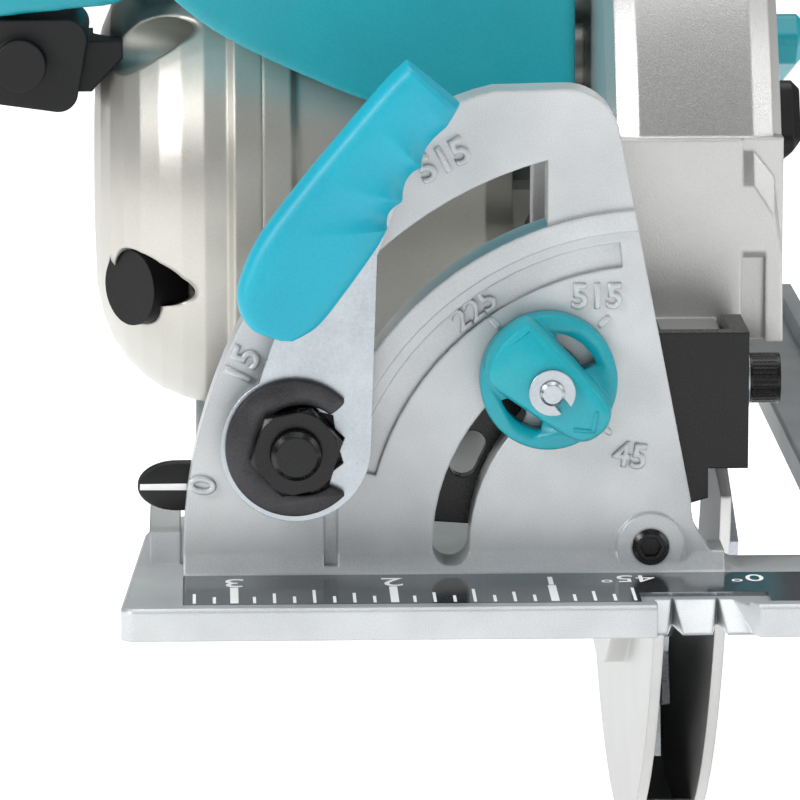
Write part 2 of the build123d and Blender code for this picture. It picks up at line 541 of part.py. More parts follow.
def spindle():
    """Ground steel spindle from the gear cover's bearing to the blade."""
    return turned_x(SPINDLE_Y, SPINDLE_Z, (-93, 0), (-93, 5), (-85, 5), (-85, 6), (RING_FACE_X, 6),
                    (RING_FACE_X, SPINDLE_R), (3.4, SPINDLE_R), (3.4, 4.0), (-14, 4.0), (-14, 0))


def ring_gear():
    """Ring gear pressed on the spindle; its teeth face the pinion."""
    back = RING_FACE_X + 2.4
    body = turned_x(SPINDLE_Y, SPINDLE_Z, (back, SPINDLE_R), (back, RING_R), (back + 5, RING_R), (back + 8, 15),
                    (back + 14, 13), (back + 14, SPINDLE_R))
    tooth = Pos(SPINDLE_Y + RING_R - 4, SPINDLE_Z) * Rectangle(7.6, 1.4)
    for k in range(RING_TEETH):
        turn = Pos(SPINDLE_Y, SPINDLE_Z) * Rot(0, 0, 360 * k / RING_TEETH) * Pos(-SPINDLE_Y, -SPINDLE_Z)
        body += slab_x(turn * tooth, RING_FACE_X, back + 0.5)
    return body


def flange(x0, x1, r):
    ring = Pos(SPINDLE_Y, SPINDLE_Z) * (Circle(r) - Circle(SPINDLE_R))
    disc = slab_x(ring, x0, x1)
    return disc


def inner_flange():
    return flange(-3.6, -BLADE_T / 2, 19)


def outer_flange():
    ring = Pos(SPINDLE_Y, SPINDLE_Z) * (Circle(19) - Circle(SPINDLE_R + 0.02))
    cap = Pos(SPINDLE_Y, SPINDLE_Z) * (Circle(15) - Circle(4.05))
    return slab_x(ring, BLADE_T / 2, 3.4) + slab_x(cap, 3.4, 5.6)


def blade_bolt():
    """M8 bolt, left-hand thread, with a washer face."""
    bolt = rod_x(-13, 6, SPINDLE_Y, SPINDLE_Z, 4.0)
    head = slab_x(Pos(SPINDLE_Y, SPINDLE_Z) * hexagon(13), 7.0, 12.6)
    return bolt + rod_x(5.6, 7.0, SPINDLE_Y, SPINDLE_Z, 8.6) + head


# ---------------------------------------------------------------- gear case
def gear_housing():
    """Cast gear case: drum about a cross axis, spindle boss on its blade side, motor flange behind."""
    drum = turned_x(CASE_Y, CASE_Z, (CASE_LEFT, 0), (CASE_LEFT, CASE_R + 1.5), (CASE_LEFT + 5, CASE_R + 1.5),
                    (CASE_LEFT + 6, CASE_R), (CASE_RIGHT - 5, CASE_R), (CASE_RIGHT, CASE_R - 5), (CASE_RIGHT, 0))
    cavity = rod_x(CASE_LEFT - 1, CASE_RIGHT - 4, CASE_Y, CASE_Z, CASE_R - 4)
    boss = rod_x(CASE_RIGHT - 10, -5.4, SPINDLE_Y, SPINDLE_Z, BOSS_R)
    neck = rod_y(FLANGE_Y - 28, FLANGE_Y, MOTOR_X, MOTOR_Z, MOTOR_R) & box(CASE_LEFT, 0, 120, 200, -20, 120)
    case = drum + neck + boss - cavity + rod_y(FLANGE_Y, MOTOR_FRONT, MOTOR_X, MOTOR_Z, MOTOR_R)
    for y, z in COVER_SCREWS:
        post = rod_x(CASE_LEFT, CASE_LEFT + 12, y, z, 5.5)
        case += post & rod_x(CASE_LEFT, CASE_LEFT + 12, CASE_Y, CASE_Z, CASE_R)
        case -= rod_x(CASE_LEFT - 1, CASE_LEFT + 10, y, z, 2.5)
    for y, z in ((102, 74), (160, 72), (108, 22)):
        case += rod_x(CASE_RIGHT - 2, UPPER_LEFT, y, z, 6)
    lock_guide = box(CASE_RIGHT - 1, UPPER_LEFT - 0.2, 92, 102, LOCK_Z - 6, LOCK_Z + 6)
    case += lock_guide - rod_y(90, 104, LOCK_X, LOCK_Z, 2.5 + RUN)
    case -= box(-120, 0, MOTOR_FRONT, 200, -10, 110)
    case -= rod_y(FLANGE_Y - 20, MOTOR_FRONT + 1, MOTOR_X, MOTOR_Z, 11.0)
    case -= rod_x(-40, -7.5, SPINDLE_Y, SPINDLE_Z, 16.0)
    return case - rod_x(-8, 0, SPINDLE_Y, SPINDLE_Z, 11.0)


def gear_cover():
    """Domed cast cover on the far side of the gear case, with pockets for its screws."""
    profile = [(CASE_LEFT, 0), (CASE_LEFT, CASE_R + 1.5), (CASE_LEFT - 5, CASE_R + 1.5), (CASE_LEFT - 6, CASE_R - 0.5)]
    for k in range(1, 9):
        a = math.radians(90 * k / 9)
        profile.append((CASE_LEFT - 6 - 24 * math.sin(a), 14 + (CASE_R - 14.5) * math.cos(a) ** 0.8))
    profile += [(COVER_LEFT, 12), (COVER_LEFT, 0)]
    cover = turned_x(CASE_Y, CASE_Z, *profile)
    cover -= turned_x(CASE_Y, CASE_Z, (CASE_LEFT + 1, 0), (CASE_LEFT + 1, CASE_R - 4), (CASE_LEFT - 10, CASE_R - 5),
                      (CASE_LEFT - 20, CASE_R - 14), (CASE_LEFT - 24, 20), (CASE_LEFT - 24, 0))
    bearing_seat = rod_x(-95, -80, SPINDLE_Y, SPINDLE_Z, 13)
    for y, z in COVER_SCREWS:
        bearing_seat += rod_x(COVER_LEFT, CASE_LEFT, y, z, 7.5)
    cover += bearing_seat & turned_x(CASE_Y, CASE_Z, *profile)
    cover -= box(-120, 0, FLANGE_Y - 0.1, 200, 0, 120)
    cover -= rod_x(-93.5, -70, SPINDLE_Y, SPINDLE_Z, 9.5)
    for y, z in COVER_SCREWS:
        cover -= rod_x(COVER_LEFT - 1, SCREW_SEAT_X, y, z, 5.2)
        cover -= rod_x(COVER_LEFT - 1, CASE_LEFT + 1, y, z, 2.5)
    return cover - oil_plug_tool(6.9, 9.0)


COVER_SCREWS = [polar(CASE_Y, CASE_Z, 36.5, a) for a in (55, 134, 202, 300)]
SCREW_SEAT_X = -79.0


def gear_cover_screws():
    """Button head screws that hold the cover to the case."""
    screws = []
    for y, z in COVER_SCREWS:
        head = turned_x(y, z, (SCREW_SEAT_X - 3.4, 0), (SCREW_SEAT_X - 3.4, 2.2), (SCREW_SEAT_X - 2.4, 3.9),
                        (SCREW_SEAT_X - 0.6, 4.7), (SCREW_SEAT_X, 4.7), (SCREW_SEAT_X, 2.5), (CASE_LEFT + 9, 2.5),
                        (CASE_LEFT + 9, 0))
        screws.append(head)
    return Compound(screws)


def oil_plug_tool(r, depth):
    """A round plug whose axis points forward and away from the blade."""
    place = Pos(-90.5, 99.5, 34.0) * Rot(0, 0, 40) * Rot(0, 90, 0)
    return place * Cylinder(r, depth)


def oil_plug():
    """Black rubber plug of the grease hole."""
    return oil_plug_tool(6.8, 8.0)


def spindle_bearings():
    right = Pos(SPINDLE_Y, SPINDLE_Z) * (Circle(15.98) - Circle(SPINDLE_R))
    left = Pos(SPINDLE_Y, SPINDLE_Z) * (Circle(9.48) - Circle(5.0))
    return Compound([slab_x(right, -19, -8), slab_x(left, -93.4, -86)])


# ---------------------------------------------------------------- motor
def motor_housing():
    """Moulded motor housing: a ribbed tube with cooling slots and brush ports."""
    tube = turned_y(MOTOR_X, MOTOR_Z, (MOTOR_FRONT, MOTOR_R - MOTOR_WALL), (MOTOR_FRONT, MOTOR_R + 1.5),
                    (MOTOR_FRONT + 7, MOTOR_R + 1.5), (MOTOR_FRONT + 9, MOTOR_R), (MOTOR_BACK, MOTOR_R),
                    (MOTOR_BACK, MOTOR_R - MOTOR_WALL))
    for side in (-1, 1):
        tube += rod_x(MOTOR_X + side * (MOTOR_R - 3), MOTOR_X + side * (MOTOR_R + 2.2), 246, MOTOR_Z, 9.5)
        tube -= rod_x(MOTOR_X, MOTOR_X + side * (MOTOR_R + 5), 246, MOTOR_Z, 6.5)
        for k in range(5):
            angle = 90 + side * (22 + 17 * k)
            slot = Pos(MOTOR_X, 183, MOTOR_Z) * Rot(0, -angle, 0) * Pos(MOTOR_R, 0, 0) * Box(12, 11, 3.2)
            tube -= slot
    return tube


def stator_core():
    """Laminated field core."""
    ring = turned_y(MOTOR_X, MOTOR_Z, (198, 20.3), (198, 33.9), (236, 33.9), (236, 20.3))
    for side in (-1, 1):
        ring -= box(MOTOR_X + side * 25.5 - 4, MOTOR_X + side * 25.5 + 4, 197, 237, MOTOR_Z - 12, MOTOR_Z + 12)
    return ring


def field_coils():
    """Two wound field coils, ends standing out of the core."""
    coils = []
    for side in (-1, 1):
        x = MOTOR_X + side * 25.5
        coils.append(box(x - 3.8, x + 3.8, 191, 239, MOTOR_Z - 11.8, MOTOR_Z + 11.8))
    return Compound(coils)


def brush_holders():
    holders = []
    for side in (-1, 1):
        tube = rod_x(MOTOR_X + side * 14.5, MOTOR_X + side * 35.2, 246, MOTOR_Z, 6.4)
        tube -= box(MOTOR_X + side * 27 - 20, MOTOR_X + side * 27 + 20, 243, 249, MOTOR_Z - 3.6, MOTOR_Z + 3.6)
        holders.append(tube)
    return Compound(holders)


def carbon_brushes():
    brushes = []
    for side in (-1, 1):
        a, b = sorted((MOTOR_X + side * 13.3, MOTOR_X + side * 30))
        brushes.append(box(a, b, 243.1, 248.9, MOTOR_Z - 3.5, MOTOR_Z + 3.5))
    return Compound(brushes)


def brush_caps():
    caps = []
    for side in (-1, 1):
        cap = rod_x(MOTOR_X + side * 35.3, MOTOR_X + side * (MOTOR_R + 3.0), 246, MOTOR_Z, 6.4)
        end = MOTOR_X + side * (MOTOR_R + 3.0)
        cap -= box(min(end, end - side * 1.4), max(end, end - side * 1.4), 238, 254, MOTOR_Z - 0.8, MOTOR_Z + 0.8)
        caps.append(cap)
    return Compound(caps)


def motor_bearings():
    front = turned_y(MOTOR_X, MOTOR_Z, (FLANGE_Y, 5), (FLANGE_Y, 11), (MOTOR_FRONT, 11), (MOTOR_FRONT, 5))
    rear = turned_y(MOTOR_X, MOTOR_Z, (256, 4), (256, 9.5), (263, 9.5), (263, 4))
    return Compound([front, rear])


def armature_shaft():
    """Motor shaft with the pinion cut on its front end."""
    shaft = turned_y(MOTOR_X, MOTOR_Z, (138, 0), (138, PINION_R - 1.4), (153, PINION_R - 1.4), (153, 5),
                     (250, 5), (250, 4), (264, 4), (264, 0))
    for k in range(PINION_TEETH):
        angle = 360 * (k + 0.5) / PINION_TEETH
        tooth = Pos(MOTOR_X, 145.5, MOTOR_Z) * Rot(0, angle, 0) * Pos(PINION_R - 1.2, 0, 0) * Box(2.0, 14, 1.3)
        shaft += tooth
    return shaft


def armature_core():
    core = turned_y(MOTOR_X, MOTOR_Z, (190.5, 5), (190.5, 14), (198, 19.5), (236, 19.5), (238, 14), (238, 5))
    for k in range(12):
        slot = Pos(MOTOR_X, 217, MOTOR_Z) * Rot(0, 30 * k, 0) * Pos(19, 0, 0) * Box(4, 38.5, 1.6)
        core -= slot
    return core


def commutator():
    ring = turned_y(MOTOR_X, MOTOR_Z, (239, 5), (239, 13), (253, 13), (253, 5))
    return ring


def cooling_fan():
    fan = turned_y(MOTOR_X, MOTOR_Z, (187, 5), (187, 32), (188.6, 32), (188.6, 10), (189.5, 10), (189.5, 5))
    for k in range(11):
        vane = Pos(MOTOR_X, 182.5, MOTOR_Z) * Rot(0, 360 * k / 11, 0) * Pos(22, 0, 0) * Box(19, 9.2, 1.4)
        fan += vane
    return fan


# ---------------------------------------------------------------- rear handle
def handle_profile():
    """Closed loop of the rear handle in (y, z): grip on top, strut below, open for the hand."""
    outer = outline((262.2, 14), (300, 14), (372, 22), (402, 42), (410, 72), (400, 100), (364, 124), (300, 144),
                    (274, 140), (262.2, 122))
    opening = outline((300, 40), (368, 46), (378, 70), (368, 88), (316, 108), (302, 104), (292, 84), (292, 50))
    return fillet(outer.vertices().filter_by(lambda v: v.X > 270), 11) - fillet(opening.vertices(), 7)


GRIP_HALF = 17.5


def handle_solid():
    loop = slab_x(handle_profile(), MOTOR_X - GRIP_HALF, MOTOR_X + GRIP_HALF)
    side_edges = loop.faces().sort_by(Axis.X)
    loop = chamfer(side_edges[0].edges() + side_edges[-1].edges(), 4.0)
    cap = turned_y(MOTOR_X, MOTOR_Z, (262.2, 0), (262.2, MOTOR_R), (270, MOTOR_R - 1), (280, MOTOR_R - 7),
                   (288, MOTOR_R - 20), (288, 0))
    hollow = slab_x(offset(handle_profile(), -3.0), MOTOR_X - GRIP_HALF + 3.2, MOTOR_X + GRIP_HALF - 3.2)
    bearing_room = rod_y(262, 266, MOTOR_X, MOTOR_Z, 9.6)
    handle = loop + cap - hollow - bearing_room
    for y, z in HANDLE_SCREWS:
        handle += rod_x(MOTOR_X - GRIP_HALF + 2.0, MOTOR_X + GRIP_HALF - 2.0, y, z, 4.4)
        handle -= rod_x(MOTOR_X - GRIP_HALF - 9.0, MOTOR_X - GRIP_HALF + 2.0, y, z, 4.0)
        handle -= rod_x(MOTOR_X - GRIP_HALF, MOTOR_X + 8.0, y, z, 1.9)
    return handle


def handle_half(side):
    body = handle_solid()
    half = box(MOTOR_X, MOTOR_X + side * 60, 260, 420, 0, 160) if side > 0 else \
        box(MOTOR_X - 60, MOTOR_X, 260, 420, 0, 160)
    shell = body & half
    # trigger opening in the grip's underside and the inlet hole at the tail
    shell -= box(MOTOR_X - 7.3, MOTOR_X + 7.3, 305, 337, 92, 118)
    shell -= rod_y(395, 425, MOTOR_X, 60, 7.0)
    return shell


HANDLE_SCREWS = [(281, 130), (352, 119), (390, 84), (384, 42), (310, 27)]


def handle_screws():
    screws = []
    for y, z in HANDLE_SCREWS:
        seat = MOTOR_X - GRIP_HALF + 2.0
        screws.append(turned_x(y, z, (seat - 1.8, 0), (seat - 1.8, 2.6), (seat - 1.0, 3.8), (seat, 3.8), (seat, 1.9),
                               (MOTOR_X + 8, 1.9), (MOTOR_X + 8, 0)))
    return Compound(screws)


def trigger():
    """Moulded trigger under the grip, rocking on a pin in the handle."""
    face = outline((307, 112), (307, 96.5), (311, 92), (318, 91), (326, 93.5), (332, 99), (335, 108), (335, 114))
    body = slab_x(fillet(face.vertices(), 1.6), MOTOR_X - 6.8, MOTOR_X + 6.8)
    return body + rod_x(MOTOR_X - 6.8, MOTOR_X + 6.8, 308, 113, 2.2)


def switch_unit():
    return box(MOTOR_X - 8, MOTOR_X + 8, 306, 333, 119.5, 128.5)


def cord_inlet():
    """Rubber collar in the tail of the handle, where a power cord would enter."""
    return turned_y(MOTOR_X, 60, (397, 4.0), (397, 9.5), (399.4, 9.5), (399.4, 6.9), (413, 6.9), (413, 9.0), (418, 7.6),
                    (418, 4.0))


# ---------------------------------------------------------------- front handle
def front_handle():
    """Moulded front handle: a shroud over the gear case that rises into a cross bar."""
    rim = Spline((-92, 96), (-79, 82.5), (-63.5, 74.5), (-51.4, 69.6), (-39, 66.8), (-15.8, 64.0))
    edge = [rim, Line((-15.8, 64.0), (-15.8, 118)), Line((-15.8, 118), (-92, 118)), Line((-92, 118), (-92, 96))]
    shroud = slab_y(make_face(edge), 78, 158)
    shroud -= rod_x(-130, 0, CASE_Y, CASE_Z, CASE_R + 1.7)
    shroud -= rod_y(150, 175, MOTOR_X, MOTOR_Z, MOTOR_R + 1.8)
    bar = rod_x(-108, -30, 112, 158, 15)
    left_post = slab_y(fillet(outline((-122, 81.5), (-92, 84.5), (-93, 158), (-123, 158)).vertices(), 5), 98, 126)
    right_post = slab_y(fillet(outline((-46, 105), (-16, 105), (-16, 158), (-45, 158)).vertices(), 5), 98, 126)
    return shroud + bar + left_post + right_post


def front_handle_screws():
    screws = []
    for x, y in ((-84, 152), (-24, 152)):
        screws.append(rod_z(118, 120.4, x, y, 4.2) - box(x - 3, x + 3, y - 0.6, y + 0.6, 119.4, 121))
    return Compound(screws)


def handle_end_mount():
    """Black moulded socket that ties the front handle's outer end to the gear cover."""
    pod = slab_y(fillet(outline((-121, 67), (-103, 64.5), (-100, 81.3), (-120, 81.3)).vertices(), 3.5), 100, 124)
    arm = box(-103.5, -94.5, 104, 122, 68, 77)
    arm -= turned_x(CASE_Y, CASE_Z, (-100, 0), (-100, 30), (-80, 44), (-60, 44), (-60, 0))
    boss = rod_y(96.6, 100, -112.5, 73.5, 4.6)
    return pod + arm + boss


def spindle_lock():
    """Push button and rod that lock the spindle, between the gear case and the upper guard."""
    return rod_y(74, 83, LOCK_X, LOCK_Z, 5.0) + rod_y(82, 110.5, LOCK_X, LOCK_Z, 2.45)


NODES = {
    "base_plate": base_plate, "front_rule": front_rule, "pivot_pins": pivot_pins,
    "stop_knob_pin": stop_knob_pin, "stop_knob_ring": stop_knob_ring, "fence_screw": fence_screw,
    "stop_knob": stop_knob,
    "bevel_plate": bevel_plate, "bevel_bolt": bevel_bolt, "bevel_pointer": bevel_pointer,
    "depth_pivot_screw": depth_pivot_screw, "depth_pivot_washer": depth_pivot_washer,
    "rear_bracket": rear_bracket, "depth_guide": depth_guide, "depth_guide_rivets": depth_guide_rivets,
    "bevel_nut": bevel_nut, "bevel_lever_plate": bevel_lever_plate, "bevel_lever_clip": bevel_lever_clip,
    "bevel_lever_grip": bevel_lever_grip,
    "upper_guard": upper_guard, "depth_clamp_bolt": depth_clamp_bolt, "depth_lever": depth_lever,
    "lower_guard": lower_guard, "lower_guard_arm": lower_guard_arm, "lower_guard_grip": lower_guard_grip,
    "guard_bumper": guard_bumper, "guard_spring": guard_spring,
    "saw_blade": saw_blade, "spindle": spindle, "ring_gear": ring_gear, "inner_flange": inner_flange,
    "outer_flange": outer_flange, "blade_bolt": blade_bolt,
    "gear_housing": gear_housing, "gear_cover": gear_cover, "gear_cover_screws": gear_cover_screws,
    "oil_plug": oil_plug, "spindle_bearings": spindle_bearings,
    "motor_housing": motor_housing, "stator_core": stator_core, "field_coils": field_coils,
    "brush_holders": brush_holders, "carbon_brushes": carbon_brushes, "brush_caps": brush_caps,
    "motor_bearings": motor_bearings, "armature_shaft": armature_shaft, "armature_core": armature_core,
    "commutator": commutator, "cooling_fan": cooling_fan,
    "handle_left": lambda: handle_half(-1), "handle_right": lambda: handle_half(1),
    "handle_screws": handle_screws, "trigger": trigger, "switch_unit": switch_unit, "cord_inlet": cord_inlet,
    "front_handle": front_handle, "front_handle_screws": front_handle_screws,
    "handle_end_mount": handle_end_mount, "spindle_lock": spindle_lock,
}

for node, make in NODES.items():
    save(node, make())
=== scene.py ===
import bpy
import math
from mathutils import Matrix, Vector


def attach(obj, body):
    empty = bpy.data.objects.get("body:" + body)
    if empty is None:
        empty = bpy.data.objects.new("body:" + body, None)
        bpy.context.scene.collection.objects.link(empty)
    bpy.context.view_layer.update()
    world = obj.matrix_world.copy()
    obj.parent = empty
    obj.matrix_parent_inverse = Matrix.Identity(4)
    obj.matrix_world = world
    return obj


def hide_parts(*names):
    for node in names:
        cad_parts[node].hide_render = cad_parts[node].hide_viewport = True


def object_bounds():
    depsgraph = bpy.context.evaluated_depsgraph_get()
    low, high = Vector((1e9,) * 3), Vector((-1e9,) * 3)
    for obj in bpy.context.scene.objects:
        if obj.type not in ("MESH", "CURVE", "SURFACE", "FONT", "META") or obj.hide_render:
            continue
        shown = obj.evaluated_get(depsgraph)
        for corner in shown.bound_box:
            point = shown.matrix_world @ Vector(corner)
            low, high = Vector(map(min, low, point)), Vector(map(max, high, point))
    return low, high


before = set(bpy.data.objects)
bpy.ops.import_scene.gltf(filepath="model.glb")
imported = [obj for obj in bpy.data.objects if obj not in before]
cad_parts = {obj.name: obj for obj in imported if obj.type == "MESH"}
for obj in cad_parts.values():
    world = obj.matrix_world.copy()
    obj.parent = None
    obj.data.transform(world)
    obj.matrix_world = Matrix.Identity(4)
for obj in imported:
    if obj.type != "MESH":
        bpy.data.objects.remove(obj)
cad_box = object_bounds()

# ---------------------------------------------------------------- die-cast base
# The sole, front strip and bevel quadrant are one pressure die casting in aluminium.
# It is shot blasted and coated with a thin silver paint that carries fine metal flake.


def linear(code):
    """An sRGB hex colour as the linear colour that a socket takes."""
    parts = [int(code[k:k + 2], 16) / 255 for k in (1, 3, 5)]
    return [c / 12.92 if c <= 0.04045 else ((c + 0.055) / 1.055) ** 2.4 for c in parts] + [1.0]


def add(tree, kind, values={}, links={}, **settings):
    """One node with its settings, its sockets' values and its incoming links."""
    node = tree.nodes.new(kind)
    for name, value in settings.items():
        setattr(node, name, value)
    for name, value in values.items():
        node.inputs[name].default_value = value
    for name, source in links.items():
        tree.links.new(source, node.inputs[name])
    return node


def surface(name, low, high, patch_mm, grain_mm, relief_mm, rough, edge_mm=0.0, **shader):
    """A real surface: its colour drifts between two shades over patches.

    Its roughness and fine relief follow the finer grain.
    """
    made = bpy.data.materials.new(name)
    made.use_nodes = True
    tree = made.node_tree
    tree.nodes.clear()
    place = add(tree, "ShaderNodeTexCoord")
    patch = add(tree, "ShaderNodeTexNoise", {"Scale": 1000 / patch_mm, "Detail": 3.0},
                {"Vector": place.outputs["Object"]})
    grain = add(tree, "ShaderNodeTexNoise", {"Scale": 1000 / grain_mm, "Detail": 2.0, "Roughness": 0.6},
                {"Vector": place.outputs["Object"]})
    both = add(tree, "ShaderNodeMath", {1: 0.5}, {0: patch.outputs["Fac"]}, operation="MULTIPLY")
    blend = add(tree, "ShaderNodeMath", {1: 0.5}, {0: grain.outputs["Fac"], 2: both.outputs[0]},
                operation="MULTIPLY_ADD")
    tint = add(tree, "ShaderNodeValToRGB", links={"Fac": blend.outputs[0]})
    tint.color_ramp.elements[0].position, tint.color_ramp.elements[1].position = 0.36, 0.64
    tint.color_ramp.elements[0].color, tint.color_ramp.elements[1].color = linear(low), linear(high)
    gloss = add(tree, "ShaderNodeMapRange",
                {"From Min": 0.3, "From Max": 0.7, "To Min": rough[0], "To Max": rough[1]},
                {"Value": grain.outputs["Fac"]})
    skin = add(tree, "ShaderNodeBump", {"Strength": 1.0, "Distance": relief_mm / 1000},
               {"Height": grain.outputs["Fac"]})
    if edge_mm:
        round_edge = add(tree, "ShaderNodeBevel", {"Radius": edge_mm / 1000}, samples=4)
        tree.links.new(round_edge.outputs["Normal"], skin.inputs["Normal"])
    body = add(tree, "ShaderNodeBsdfPrincipled", {k.replace("_", " "): v for k, v in shader.items()},
               {"Base Color": tint.outputs["Color"], "Roughness": gloss.outputs["Result"],
                "Normal": skin.outputs["Normal"]})
    add(tree, "ShaderNodeOutputMaterial", links={"Surface": body.outputs["BSDF"]})
    return made


def finish(nodes, material):
    """Gives CAD nodes their real surface."""
    for n in nodes.split():
        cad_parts[n].data.materials.clear()
        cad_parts[n].data.materials.append(material)


# silver flake paint on a blasted casting: pale and satin, with a fine sparkle of flake and soft edges
silver_paint = surface("flake_paint_on_casting", "#B2B5B7", "#C9CCCD", 14, 0.25, 0.014, (0.34, 0.46), 0.6,
                       Metallic=0.55, Coat_Weight=0.15, Coat_Roughness=0.3)
finish("base_plate", silver_paint)

# ---------------------------------------------------------------- raised scale numbers on the quadrant
# The angle scale is cast with the base: each number stands 0.35 mm proud with soft shoulders.
# They read from outside the arc, and the stop angles stand round the stop knob.
QUADRANT_FRONT = -0.0040
PIVOT = Vector((-0.0085, 0, 0.0091))


def put(name, data):
    """An object that carries this data, linked to the scene at the origin."""
    made = bpy.data.objects.new(name, data)
    bpy.context.scene.collection.objects.link(made)
    return made


def baked(drawn):
    """The plain mesh of an object once its curve settings or modifiers are applied."""
    bpy.context.view_layer.update()
    return bpy.data.meshes.new_from_object(drawn.evaluated_get(bpy.context.evaluated_depsgraph_get()))


def lettering(name, text, height, middle, right, up, proud, shoulder=0.0):
    """Raised or printed characters as a mesh in place: height in metres, standing proud along right x up."""
    curve = bpy.data.curves.new(name, "FONT")
    curve.body, curve.size = text, height / 0.70
    curve.align_x, curve.align_y = "CENTER", "CENTER"
    curve.extrude, curve.bevel_depth, curve.bevel_resolution = proud / 2, shoulder, 1
    curve.resolution_u = 4
    drawn = put(name, curve)
    mesh = baked(drawn)
    bpy.data.objects.remove(drawn)
    right, up = Vector(right).normalized(), Vector(up).normalized()
    turn = Matrix((right, up, right.cross(up))).transposed().to_4x4()
    mesh.transform(Matrix.Translation(Vector(middle)) @ turn)
    return put(name, mesh)


def joined(name, pieces, material):
    """Several pieces of one body as one mesh at the origin."""
    bpy.ops.object.select_all(action="DESELECT")
    for p in pieces:
        p.select_set(True)
    bpy.context.view_layer.objects.active = pieces[0]
    if len(pieces) > 1:
        bpy.ops.object.join()
    pieces[0].name = name
    pieces[0].data.materials.clear()
    pieces[0].data.materials.append(material)
    return pieces[0]


def on_arc(radius, degrees):
    """A point of the quadrant's front face, measured from the horizontal towards the left edge."""
    a = math.radians(degrees)
    return PIVOT + Vector((-radius * math.cos(a), QUADRANT_FRONT, radius * math.sin(a)))


numbers = []
for text, radius, degrees, size in (("0", 0.0729, 8.3, 0.0042), ("15", 0.0722, 24.6, 0.0044),
                                    ("30", 0.0722, 39.0, 0.0044), ("45", 0.0722, 52.0, 0.0044),
                                    ("515", 0.0715, 62.0, 0.0042)):
    a = math.radians(degrees)
    outward = Vector((-math.cos(a), 0, math.sin(a)))
    numbers.append(lettering("digit", text, size, on_arc(radius, degrees) - Vector((0, 0.0002, 0)),
                             (math.sin(a), 0, math.cos(a)), outward, 0.0009, 0.00022))
# the 22.5 degree number stands on the floor of the inner groove
GROOVE_RADIUS, GROOVE_FLOOR, GROOVE_ANGLE = 0.0481, 0.0008, 53.6
a = math.radians(GROOVE_ANGLE)
numbers.append(lettering("digit", "225", 0.0037,
                         on_arc(GROOVE_RADIUS, GROOVE_ANGLE) + Vector((0, GROOVE_FLOOR, 0)),
                         (math.sin(a), 0, math.cos(a)), (-math.cos(a), 0, math.sin(a)), 0.0010, 0.00014))
for text, x, z, lean in (("515", -0.0174, 0.0500, 0.0), ("45", -0.0119, 0.0239, 9.0)):
    a = math.radians(lean)
    numbers.append(lettering("digit", text, 0.0039, (x, QUADRANT_FRONT - 0.0001, z),
                             (math.cos(a), 0, -math.sin(a)), (math.sin(a), 0, math.cos(a)),
                             0.0009, 0.00020))


def shell(name, rings, material):
    """A closed skin over rings of points of equal length, flat at both ends."""
    count = len(rings[0])
    faces = [tuple(range(count))[::-1], tuple((len(rings) - 1) * count + j for j in range(count))]
    for k in range(len(rings) - 1):
        for j in range(count):
            faces.append((k * count + j, k * count + (j + 1) % count, (k + 1) * count + (j + 1) % count,
                          (k + 1) * count + j))
    mesh = bpy.data.meshes.new(name)
    mesh.from_pydata([p for ring in rings for p in ring], [], faces)
    mesh.materials.append(material)
    piece = put(name, mesh)
    bpy.context.view_layer.objects.active = piece
    bpy.ops.object.select_all(action="DESELECT")
    piece.select_set(True)
    bpy.ops.object.mode_set(mode="EDIT")
    bpy.ops.mesh.select_all(action="SELECT")
    bpy.ops.mesh.normals_make_consistent(inside=False)
    bpy.ops.object.mode_set(mode="OBJECT")
    mesh.shade_smooth()
    mesh.set_sharp_from_angle(angle=math.radians(38))
    return piece


def slab(name, edge, back, front, round_off, material):
    """A flat moulded or cast shape: its outline in x and z, thick along y, with its front edge eased."""
    turn = 1 if sum(edge[k - 1][0] * p[1] - p[0] * edge[k - 1][1] for k, p in enumerate(edge)) > 0 else -1
    rings = []
    for y, inset in ((back, 0.0), (front + round_off, 0.0), (front + 0.3 * round_off, 0.3 * round_off),
                     (front, round_off)):
        ring = []
        for k, p in enumerate(edge):
            before, after = Vector(edge[k - 1]), Vector(edge[(k + 1) % len(edge)])
            along_edge = (after - before).normalized()
            inward = turn * Vector((-along_edge.y, along_edge.x))
            q = Vector(p) + inward * inset
            ring.append((q.x / 1000, y / 1000, q.y / 1000))
        rings.append(ring)
    return shell(name, rings, material)


def worn_round(edge, passes):
    """An outline with its corners cut back again and again until they are round."""
    for _ in range(passes):
        cut = []
        for k, p in enumerate(edge):
            q = edge[(k + 1) % len(edge)]
            cut.append((0.75 * p[0] + 0.25 * q[0], 0.75 * p[1] + 0.25 * q[1]))
            cut.append((0.25 * p[0] + 0.75 * q[0], 0.25 * p[1] + 0.75 * q[1]))
        edge = cut
    return edge


def band(x, z, r_in, r_out, start, end, steps=48):
    """The outline of a curved band about a centre, angles from the horizontal."""
    edge = []
    for r, first, last in ((r_out, start, end), (r_in, end, start)):
        for k in range(steps + 1):
            a = math.radians(first + (last - first) * k / steps)
            edge.append((x + r * math.cos(a), z + r * math.sin(a)))
    return edge


def squared(value, power):
    """A sine or cosine drawn outwards, so that its circle becomes a rounded box."""
    return math.copysign(abs(value) ** power, value)


